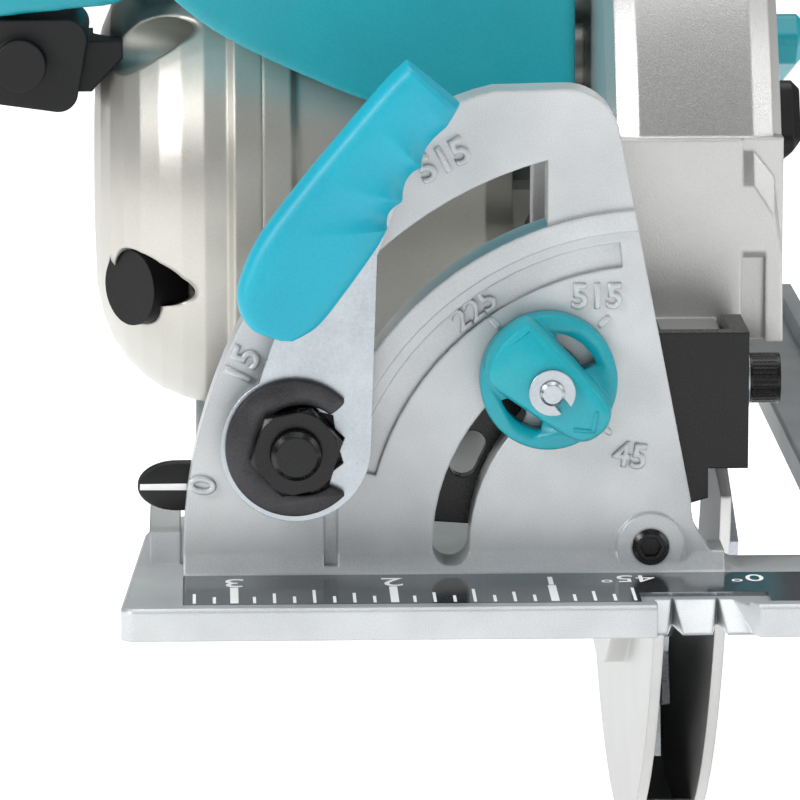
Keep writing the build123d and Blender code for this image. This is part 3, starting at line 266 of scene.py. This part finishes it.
# the three stop marks round the knob are raised pills that point at its axis
KNOB_X, KNOB_Z = -25.3, 37.0
MARK_HALF_LENGTH, MARK_HALF_WIDTH, MARK_SQUARENESS = 1.3, 0.55, 0.6
for x, z in ((-34.0, 45.9), (-16.2, 46.0), (-15.9, 28.4)):
    aim = Vector((KNOB_X - x, KNOB_Z - z)).normalized()
    side = Vector((-aim.y, aim.x))
    edge = []
    for k in range(20):
        a = 2 * math.pi * k / 20
        edge.append(tuple(Vector((x, z))
                          + aim * (MARK_HALF_LENGTH * squared(math.cos(a), MARK_SQUARENESS))
                          + side * (MARK_HALF_WIDTH * squared(math.sin(a), MARK_SQUARENESS))))
    numbers.append(slab("stop_mark", edge, -3.9, -4.6, 0.3, silver_paint))
angle_numbers = joined("quadrant_numbers", numbers, silver_paint)
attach(angle_numbers, "base")

# ---------------------------------------------------------------- printed rule
# A 0.7 mm anodised aluminium strip bonded in the front of the base, with printed inch marks.
# Its marks are one row grown by Geometry Nodes, longer at each half, quarter and whole inch.
# bright anodised aluminium: a dark grey, nearly mirror smooth strip with long clean reflections
anodised = surface("bright_anodised_strip", "#5C6165", "#868B8F", 60, 0.5, 0.0008, (0.10, 0.18), Metallic=0.9)
# screen printed ink: a flat dry white that stays readable against the bright strip
white_ink = surface("screen_printed_ink", "#E9EAEA", "#F6F6F6", 8, 0.2, 0.002, (0.5, 0.62))
finish("front_rule", anodised)
RULE_TOP, RULE_FRONT, RULE_ZERO, INCH, INK = 0.0052, -0.0264, 0.0003, 0.0254, 0.00005
marks = bpy.data.node_groups.new("rule_marks", "GeometryNodeTree")
for label, kind in (("Count", "NodeSocketInt"), ("Spacing", "NodeSocketFloat"), ("Start", "NodeSocketVector"),
                    ("Short mark", "NodeSocketFloat"), ("Longer by", "NodeSocketFloat"),
                    ("Line", "NodeSocketFloat"), ("Inch line", "NodeSocketFloat"),
                    ("Ink", "NodeSocketMaterial")):
    marks.interface.new_socket(label, in_out="INPUT", socket_type=kind)
marks.interface.new_socket("Geometry", in_out="OUTPUT", socket_type="NodeSocketGeometry")
sizes = add(marks, "NodeGroupInput")
step = add(marks, "ShaderNodeCombineXYZ", links={"X": sizes.outputs["Spacing"]})
row = add(marks, "GeometryNodeMeshLine", links={"Count": sizes.outputs["Count"], "Offset": step.outputs[0],
                                                 "Start Location": sizes.outputs["Start"]})
index = add(marks, "GeometryNodeInputIndex")
rank = None
for every in (2, 4, 8):
    counted = add(marks, "ShaderNodeMath", {1: 4.0}, {0: index.outputs[0]}, operation="ADD")
    left_over = add(marks, "ShaderNodeMath", {1: float(every)}, {0: counted.outputs[0]}, operation="MODULO")
    hit = add(marks, "ShaderNodeMath", {1: 0.5}, {0: left_over.outputs[0]}, operation="LESS_THAN")
    if rank:
        hit = add(marks, "ShaderNodeMath", links={0: rank.outputs[0], 1: hit.outputs[0]}, operation="ADD")
    rank = hit
length = add(marks, "ShaderNodeMath", links={0: rank.outputs[0], 1: sizes.outputs["Longer by"],
                                              2: sizes.outputs["Short mark"]}, operation="MULTIPLY_ADD")
half = add(marks, "ShaderNodeMath", {1: 0.5}, {0: length.outputs[0]}, operation="MULTIPLY")
shift = add(marks, "ShaderNodeCombineXYZ", links={"Y": half.outputs[0]})
placed = add(marks, "GeometryNodeSetPosition", links={"Geometry": row.outputs["Mesh"],
                                                      "Offset": shift.outputs[0]})
bar = add(marks, "GeometryNodeMeshCube", {"Size": (1.0, 1.0, INK)})
bold = add(marks, "ShaderNodeMath", {1: 2.5}, {0: rank.outputs[0]}, operation="GREATER_THAN")
broad = add(marks, "ShaderNodeMath", links={0: bold.outputs[0], 1: sizes.outputs["Inch line"],
                                             2: sizes.outputs["Line"]}, operation="MULTIPLY_ADD")
stretch = add(marks, "ShaderNodeCombineXYZ", {"Z": 1.0}, {"X": broad.outputs[0], "Y": length.outputs[0]})
copies = add(marks, "GeometryNodeInstanceOnPoints",
             links={"Points": placed.outputs[0], "Instance": bar.outputs["Mesh"],
                    "Scale": stretch.outputs[0]})
real = add(marks, "GeometryNodeRealizeInstances", links={0: copies.outputs[0]})
inked = add(marks, "GeometryNodeSetMaterial", links={"Geometry": real.outputs[0],
                                                     "Material": sizes.outputs["Ink"]})
add(marks, "NodeGroupOutput", links={"Geometry": inked.outputs[0]})


def grown(name, tree, inputs):
    """Bakes a geometry node tree to a plain mesh; inputs are set by socket identifier."""
    seed = put(name + "_seed", bpy.data.meshes.new(name + "_seed"))
    modifier = seed.modifiers.new(name, "NODES")
    modifier.node_group = tree
    for item in tree.interface.items_tree:
        if item.in_out == "INPUT" and item.name in inputs:
            modifier[item.identifier] = inputs[item.name]
    mesh = baked(seed)
    bpy.data.objects.remove(seed)
    return put(name, mesh)


rule_ticks = grown("rule_marks", marks, {"Count": 23, "Spacing": -INCH / 8,
                                         "Start": (RULE_ZERO - INCH / 2, RULE_FRONT + 0.0004, RULE_TOP),
                                         "Short mark": 0.0044, "Longer by": 0.0022, "Line": 0.0005,
                                         "Inch line": 0.0008, "Ink": white_ink})
printed = [rule_ticks]
figures = [(str(inches), RULE_ZERO - inches * INCH, -0.0115, 0.0056) for inches in (1, 2, 3)]
figures += [("45°", -0.0128, -0.0105, 0.0046), ("0°", 0.0065, -0.0105, 0.0046)]
for text, x, y, size in figures:
    printed.append(lettering("figure", text, size, (x, y, RULE_TOP), (-1, 0, 0), (0, -1, 0), INK))
rule_print = joined("rule_print", printed, white_ink)
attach(rule_print, "base")

# ---------------------------------------------------------------- steel pins, screws and bracket
# The knob's pin and ring, the washer, rivets, clamp bolt and fence screw are steel with bright zinc.
# The bevel pins, nut and bolt, the depth pivot's screw and the folded brackets are blackened steel.
# bright zinc plate: a pale, faintly blue metal with a soft shine
zinc = surface("bright_zinc_plate", "#A4ABB1", "#B7BEC3", 6, 0.5, 0.003, (0.26, 0.36), 0.25, Metallic=1.0)
# black oxide on steel: near black, with a narrow oily highlight along each edge
black_oxide = surface("black_oxide_steel", "#050506", "#0D0D0F", 9, 0.3, 0.006, (0.22, 0.34), 0.4,
                      Specular_IOR_Level=0.35)
finish("pivot_pins", black_oxide)
finish("stop_knob_pin stop_knob_ring fence_screw", zinc)
finish("depth_pivot_washer depth_clamp_bolt depth_guide_rivets", zinc)
finish("bevel_plate rear_bracket depth_guide spindle_lock", black_oxide)
finish("bevel_bolt depth_pivot_screw bevel_nut", black_oxide)

# ---------------------------------------------------------------- stop knob
# The stop selector is moulded teal nylon and clips on its pin under a spring ring.
# A round disc with two curved windows carries a tapered grip bar that points at the setting.
# moulded teal nylon: deep teal and satin from a spark-eroded mould, with edges slightly rounded
teal_nylon = surface("moulded_teal_nylon", "#00919F", "#00A0AE", 20, 0.35, 0.006, (0.34, 0.46), 0.5,
                     Coat_Weight=0.05, IOR=1.53)
DISC_RADIUS, DISC_BACK, DISC_FRONT = 11.0, -4.4, -9.0
WINDOW_IN, WINDOW_OUT, WINDOW_DEGREES = 5.6, 8.2, 62
BAR_BACK, BAR_FRONT, ARROW_FRONT = -8.6, -16.6, -16.85
windows = []
for start in (20, 200):
    edge = band(KNOB_X, KNOB_Z, WINDOW_IN, WINDOW_OUT, start, start + WINDOW_DEGREES, 16)
    windows.append(slab("window", edge, -3.0, -11.0, 0.01, teal_nylon))
windows = joined("windows", windows, teal_nylon)
disc = slab("disc", band(KNOB_X, KNOB_Z, 0.0, DISC_RADIUS, 0, 360, 96)[:96], DISC_BACK, DISC_FRONT, 0.5,
            teal_nylon)
cut = disc.modifiers.new("windows", "BOOLEAN")
cut.operation, cut.object, cut.solver = "DIFFERENCE", windows, "EXACT"
disc.data = baked(disc)
disc.modifiers.clear()
bpy.data.objects.remove(windows)
bar_edge = [(-2.9, 11.2), (2.4, 5.6), (9.6, -2.2), (9.5, -5.0), (8.2, -7.0), (5.5, -8.6), (2.6, -7.8),
            (-6.9, -1.2), (-9.8, 0.8), (-10.5, 2.6), (-9.7, 5.5), (-7.6, 8.4), (-4.9, 10.7)]
bar_edge = worn_round([(KNOB_X + x, KNOB_Z + z) for x, z in bar_edge], 3)
grip_bar = slab("grip_bar", bar_edge, BAR_BACK, BAR_FRONT, 1.3, teal_nylon)
arrow_legs = ([(6.9, -3.3), (7.4, -3.3), (6.8, -6.6), (6.3, -6.2)],
              [(3.5, -5.9), (3.6, -6.4), (6.8, -6.6), (6.3, -6.2)])
arrow = [slab("arrow", [(KNOB_X + x, KNOB_Z + z) for x, z in leg], BAR_FRONT + 0.2, ARROW_FRONT, 0.1,
              teal_nylon) for leg in arrow_legs]
knob = joined("stop_selector_knob", [disc, grip_bar] + arrow, teal_nylon)
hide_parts("stop_knob")
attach(knob, "stop_selector")

# ---------------------------------------------------------------- bevel pointer
# A small black nylon pointer at the quadrant's edge, fixed to the tilting frame.
# A white line is printed along its nose.
# moulded black nylon: a deep satin black with a broad dull highlight
black_nylon = surface("moulded_black_nylon", "#08080A", "#111113", 20, 0.35, 0.006, (0.36, 0.5), 0.5,
                      IOR=1.53, Specular_IOR_Level=0.35)
NOSE_X, NOSE_Z = -85.0, 17.5
nose = []
for k in range(25):
    a = math.radians(90 + 180 * k / 24)
    nose.append((NOSE_X + 6.4 * math.cos(a), NOSE_Z + 4.0 * math.sin(a)))
stem = [(-76.0, 13.5), (-70.2, 13.6), (-70.2, 21.3), (-76.0, 21.5)]
pointer = slab("bevel_pointer_nose", nose + stem, 7.0, 4.7, 0.4, black_nylon)
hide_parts("bevel_pointer")
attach(pointer, "bevel_frame")
line_edge = [(-91.0, 17.0), (-83.4, 16.95), (-83.4, 18.05), (-91.0, 18.0)]
line = slab("pointer_line", line_edge, 4.9, 4.62, 0.05, white_ink)
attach(line, "bevel_frame")

# ---------------------------------------------------------------- bevel lever
# A zinc plated lever turns the nut; its grip is moulded over it in bright teal rubber.
# The grip is thick and square-edged, with three finger scallops down its inner side.
# moulded teal rubber: a brighter, bluer teal than the nylon, with a soft even sheen
soft_teal = surface("moulded_teal_rubber", "#0096AE", "#00A3BA", 18, 0.5, 0.006, (0.42, 0.55), IOR=1.52,
                    Subsurface_Weight=0.04, Subsurface_Scale=0.002)
# dark spring steel: a warm dark grey metal with a smoky shine
clip_steel = surface("dark_spring_steel", "#333234", "#474648", 7, 0.35, 0.005, (0.34, 0.45), 0.3,
                     Metallic=0.7)
finish("bevel_lever_plate", zinc)
NUT_X, NUT_Z = -65.91, 27.20
crescent = (band(NUT_X - 0.2, NUT_Z + 0.3, 0, 11.1, 42, 318, 40)[:41]
            + band(NUT_X + 0.9, NUT_Z, 0, 7.3, 308, 50, 40)[:41])
clip = slab("nut_clip", worn_round(crescent, 2), -12.0, -13.7, 0.35, clip_steel)
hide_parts("bevel_lever_clip")
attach(clip, "bevel_lever")
GRIP_FRONT, GRIP_BACK, GRIP_SQUARENESS = -0.0195, -0.0090, 0.42
SCALLOPS_FROM, SCALLOPS_TO, SCALLOP_PITCH, SCALLOP_CUT, SCALLOP_SLOPE = 0.50, 0.935, 0.145, 0.0009, 0.0016
OUTER = [(-68.6, 46.0), (-73.2, 47.7), (-75.2, 52.0), (-74.0, 57.0), (-71.2, 62.4), (-65.2, 70.4),
         (-57.3, 79.9), (-51.5, 86.6), (-48.2, 89.8)]
INNER = [(-66.4, 45.8), (-62.4, 48.0), (-58.0, 53.4), (-53.4, 59.9), (-51.4, 63.4), (-49.4, 67.1),
         (-46.8, 71.8), (-44.3, 76.0), (-40.0, 83.0)]


def along(points, t):
    """A smooth curve through evenly numbered points, t from 0 to 1."""
    s = t * (len(points) - 1)
    k = min(int(s), len(points) - 2)
    u = s - k
    p = [Vector(points[min(max(k + d, 0), len(points) - 1)]) for d in (-1, 0, 1, 2)]
    return 0.5 * (2 * p[1] + (p[2] - p[0]) * u + (2 * p[0] - 5 * p[1] + 4 * p[2] - p[3]) * u * u
                  + (3 * p[1] - p[0] - 3 * p[2] + p[3]) * u ** 3)


rings = []
for k in range(121):
    t = k / 120
    a, b = along(OUTER, t) / 1000, along(INNER, t) / 1000
    # three scallops cut in from the inner side over the upper half
    wave = 0.0
    if SCALLOPS_FROM < t < SCALLOPS_TO:
        wave = abs(math.sin(math.pi * (t - SCALLOPS_FROM) / SCALLOP_PITCH))
    b = b + (a - b).normalized() * SCALLOP_CUT * wave
    # both ends close down to a rounded lip
    near_end = min(1.0, (t / 0.02) if t < 0.02 else ((1 - t) / 0.03 if t > 0.97 else 1.0))
    lip = math.sqrt(max(0.0, 1 - (1 - near_end) ** 2))
    ring = []
    for j in range(56):
        angle = 2 * math.pi * (j + 0.5) / 56
        u = squared(math.cos(angle), GRIP_SQUARENESS)
        v = squared(math.sin(angle), GRIP_SQUARENESS)
        across = (u + 1) / 2
        deep = 0.0
        if v > 0:
            # the front face slopes down to the scallops
            deep = SCALLOP_SLOPE * wave * max(0.0, min(1.0, (across - 0.42) / 0.5)) ** 1.5
        p = a.lerp(b, across)
        middle = (GRIP_FRONT + GRIP_BACK) / 2
        thick = (GRIP_BACK - GRIP_FRONT) / 2 * (0.55 + 0.45 * lip)
        ring.append((p.x, middle - v * thick + deep, p.y))
    rings.append(ring)
lever_grip = shell("lever_grip", rings, soft_teal)
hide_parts("bevel_lever_grip")
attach(lever_grip, "bevel_lever")

# ---------------------------------------------------------------- upper guard and gear case
# Upper guard and gear case are bare aluminium die castings; the gear cover is held by black screws.
# A rubber plug, the guard's bumper and the cord's sleeve are moulded black rubber.
# tumbled bare casting: bright silver with a noisy grain that breaks up every highlight
bright_cast = surface("tumbled_bare_casting", "#BCBCBB", "#CBCBC9", 30, 0.28, 0.030, (0.30, 0.44), 0.7,
                      Metallic=0.85)
# blasted bare casting: a warmer, smoother silver with broad soft highlights
warm_cast = surface("blasted_bare_casting", "#B4B2AB", "#C5C3BC", 30, 0.22, 0.012, (0.32, 0.44), 0.8,
                    Metallic=0.75)
finish("upper_guard", bright_cast)
# cast on the blade side of the guard: two stiffening ribs and a plain arrow for the blade's turn,
# drawn facing the front of the saw and then turned to face the blade side
SPINDLE_Y, SPINDLE_Z = 132.0, 30.0
GUARD_SKIN, ARROW_FACE, RIB_FACE = -15.9, -16.6, -16.7
arrow_band = band(SPINDLE_Y, SPINDLE_Z, 78.0, 81.5, 118, 84, 24)
tip = [(SPINDLE_Y + r * math.cos(math.radians(a)), SPINDLE_Z + r * math.sin(math.radians(a)))
       for r, a in ((85.0, 84), (79.7, 75), (74.5, 84))]
raised = [slab("arrow", arrow_band, GUARD_SKIN, ARROW_FACE, 0.25, bright_cast),
          slab("head", tip, GUARD_SKIN, ARROW_FACE, 0.25, bright_cast)]
for r_in, r_out, steps in ((94.0, 96.5, 72), (46.0, 48.5, 60)):
    raised.append(slab("rib", band(SPINDLE_Y, SPINDLE_Z, r_in, r_out, 160, 22, steps), GUARD_SKIN, RIB_FACE,
                       0.4, bright_cast))
guard_relief = joined("guard_relief", raised, bright_cast)
guard_relief.data.transform(Matrix.Rotation(math.pi / 2, 4, "Z"))
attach(guard_relief, "saw_body")
finish("gear_housing gear_cover", warm_cast)
# black phosphated steel: small, very dark heads with a sharp highlight
black_screw = surface("black_phosphated_screw", "#050506", "#0C0C0D", 5, 0.2, 0.003, (0.14, 0.22), 0.3)
finish("gear_cover_screws handle_screws front_handle_screws", black_screw)
# moulded black rubber: a dull charcoal with almost no highlight
black_rubber = surface("moulded_black_rubber", "#0B0B0C", "#151516", 10, 0.4, 0.012, (0.55, 0.7), 0.4,
                       IOR=1.52, Specular_IOR_Level=0.3)
finish("oil_plug guard_bumper cord_inlet", black_rubber)

# ---------------------------------------------------------------- lower guard
# The swinging guard is cast aluminium like the upper one, and turns about the arbor's flange.
# Its arm is zinc plated steel, with a black nylon thumb grip on the end.
finish("lower_guard", bright_cast)
finish("lower_guard_arm", zinc)
finish("lower_guard_grip", black_nylon)

# ---------------------------------------------------------------- blade and arbor
# A steel blade with ground faces sits on a ground arbor, clamped between two flanges.
# The bearings, ring gear, armature shaft and guard spring are ground and drawn steel too.
# ground tool steel: neutral grey metal, smooth, with a fine even shine
ground_steel = surface("ground_tool_steel", "#9B9EA2", "#ADB0B3", 20, 0.3, 0.006, (0.24, 0.36),
                       Metallic=1.0)
finish("saw_blade spindle inner_flange outer_flange blade_bolt ring_gear spindle_bearings", ground_steel)
finish("guard_spring motor_bearings armature_shaft", ground_steel)

# ---------------------------------------------------------------- motor
# The field case is moulded teal nylon round a laminated stator with copper coils.
# Carbon brushes press on the commutator, under black nylon caps; their holders are copper coloured.
# varnished lamination steel: dark grey metal dulled by its varnish
lamination = surface("varnished_lamination_steel", "#3B3D40", "#56595D", 6, 0.5, 0.01, (0.4, 0.5), 0.2,
                     Metallic=0.8)
# varnished copper wire: a red-brown metal with the close relief of its windings
copper = surface("varnished_copper_wire", "#9A4A22", "#C4693A", 2, 0.6, 0.04, (0.3, 0.4), 0.2, Metallic=0.9)
# pressed carbon: a soft dull black
carbon = surface("pressed_carbon", "#17171A", "#26262A", 3, 0.3, 0.01, (0.5, 0.6), 0.2)
finish("motor_housing", teal_nylon)
finish("stator_core armature_core", lamination)
finish("field_coils commutator brush_holders", copper)
finish("carbon_brushes", carbon)
finish("brush_caps cooling_fan switch_unit", black_nylon)

# ---------------------------------------------------------------- handles
# Two moulded teal halves make the rear handle; the front handle is one moulding in the same nylon.
# Every edge of a moulding is round, so each shell is re-skinned from its solid and eased,
# and black rubber is moulded over the parts that the hands hold.


def eased(name, node, voxel_mm, passes):
    """A moulded skin over a CAD solid: the same shape with its edges rounded as a mould leaves them."""
    piece = put(name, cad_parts[node].data.copy())
    tight = piece.modifiers.new("weld", "WELD")
    tight.merge_threshold = 0.00001
    skin = piece.modifiers.new("skin", "REMESH")
    skin.mode, skin.voxel_size, skin.use_smooth_shade = "VOXEL", voxel_mm / 1000, True
    ease = piece.modifiers.new("ease", "SMOOTH")
    ease.factor, ease.iterations = 0.5, passes
    done = baked(piece)
    bpy.data.objects.remove(piece)
    done.shade_smooth()
    return put(name, done)


def overmoulded(mesh, inside, proud_mm):
    """Rubber moulded over part of a shell: those faces stand proud and take the second material."""
    held = [inside(v.co * 1000) for v in mesh.vertices]
    lift = [v.normal * proud_mm / 1000 if h else None for v, h in zip(mesh.vertices, held)]
    for v, d in zip(mesh.vertices, lift):
        if d:
            v.co += d
    for f in mesh.polygons:
        f.material_index = int(all(held[k] for k in f.vertices))


def front_grip(p):
    """The front handle's cross bar, all round."""
    on_bar = -101 < p.x < -37 and p.z > 141 and (p.y - 112) ** 2 + (p.z - 158) ** 2 < 17 ** 2
    on_posts = p.z < 150 and abs(p.x + 69) > 22
    return on_bar and not on_posts


def rear_grip(p):
    """The rear grip's back and palm sides, clear of the trigger."""
    return 316 < p.y < 392 and p.z > 92 + 6 * math.sin(p.y / 9) and abs(p.x + 62) > 4


# dimpled grip rubber: matt black, broken by millimetre dimples that catch small highlights
grip_rubber = surface("dimpled_grip_rubber", "#0D0D0E", "#161617", 12, 1.1, 0.16, (0.5, 0.66), IOR=1.52)
VOXEL_MM, EASING_PASSES, RUBBER_PROUD_MM = 0.8, 8, 0.5
for name, node, panel in (("front_handle_shell", "front_handle", front_grip),
                          ("handle_shell_left", "handle_left", rear_grip),
                          ("handle_shell_right", "handle_right", rear_grip)):
    moulding = eased(name, node, VOXEL_MM, EASING_PASSES)
    moulding.data.materials.clear()
    moulding.data.materials.append(teal_nylon)
    moulding.data.materials.append(grip_rubber)
    overmoulded(moulding.data, panel, RUBBER_PROUD_MM)
    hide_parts(node)
    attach(moulding, "saw_body")
finish("trigger handle_end_mount", black_nylon)
finish("depth_lever", teal_nylon)

# ---------------------------------------------------------------- floor, light and camera
# A pale seamless floor at the guard's lowest point, soft boxes either side and overhead.
FLOOR_HALF, floor_z = 30, cad_box[0].z - 0.0003
corners = [(x * FLOOR_HALF, y * FLOOR_HALF, floor_z) for x, y in ((-1, -1), (1, -1), (1, 1), (-1, 1))]
sheet = bpy.data.meshes.new("floor")
sheet.from_pydata(corners, [], [(0, 1, 2, 3)])
floor = put("floor", sheet)
# matt white sweep: an even pale ground that fades into the background
sheet.materials.append(surface("matt_white_sweep", "#F7F7F7", "#FAFAFA", 400, 2, 0.0, (0.8, 0.9),
                               Emission_Color=linear("#FFFFFF"), Emission_Strength=0.6))


def lamp(name, at, aim, size, watts, colour="#FFFFFF"):
    """A soft box that faces a point."""
    data = bpy.data.lights.new(name, "AREA")
    data.shape, data.size, data.size_y = "RECTANGLE", size[0], size[1]
    data.energy, data.color = watts, linear(colour)[:3]
    box = put(name, data)
    box.location = at
    box.rotation_euler = (Vector(aim) - Vector(at)).to_track_quat("-Z", "Y").to_euler()


MIDDLE = (-0.03, 0.08, 0.05)
lamp("key", (-1.0, -0.55, 0.7), MIDDLE, (0.45, 0.45), 11)
lamp("side", (1.0, -0.35, 0.45), MIDDLE, (0.35, 0.9), 4)
lamp("top", (0.0, 0.2, 1.25), MIDDLE, (1.0, 1.0), 9)
lamp("front", (0.1, -1.6, 0.25), MIDDLE, (0.7, 0.35), 1.2)
world = bpy.data.worlds.new("studio")
bpy.context.scene.world = world
world.use_nodes = True
# the studio is bright overhead and dimmer at eye level, which gives metal its dark lines
sky = add(world.node_tree, "ShaderNodeTexCoord")
height = add(world.node_tree, "ShaderNodeSeparateXYZ", links={0: sky.outputs["Generated"]})
fade = add(world.node_tree, "ShaderNodeValToRGB", links={"Fac": height.outputs["Z"]})
fade.color_ramp.elements[0].color, fade.color_ramp.elements[1].color = linear("#6E6E70"), linear("#FFFFFF")
fade.color_ramp.elements[0].position, fade.color_ramp.elements[1].position = 0.05, 0.75
background = world.node_tree.nodes["Background"]
world.node_tree.links.new(fade.outputs["Color"], background.inputs["Color"])
background.inputs["Strength"].default_value = 0.36
bpy.context.scene.view_settings.view_transform = "Standard"

# a long lens, a little above the base and in front of it, close on the bevel quadrant
EYE = Vector((-0.0805, -0.9336, 0.2184))
ahead, up = Vector((0.0332, 0.9803, -0.1951)), Vector((0.0066, 0.195, 0.9809))
right = ahead.cross(up).normalized()
up = right.cross(ahead).normalized()
view = bpy.data.cameras.new("view")
view.lens, view.sensor_width, view.clip_start, view.clip_end = 265.5, 36.0, 0.05, 50.0
camera = put("view", view)
camera.matrix_world = Matrix.Translation(EYE) @ Matrix((right, up, -ahead.normalized())).transposed().to_4x4()
bpy.context.scene.camera = camera
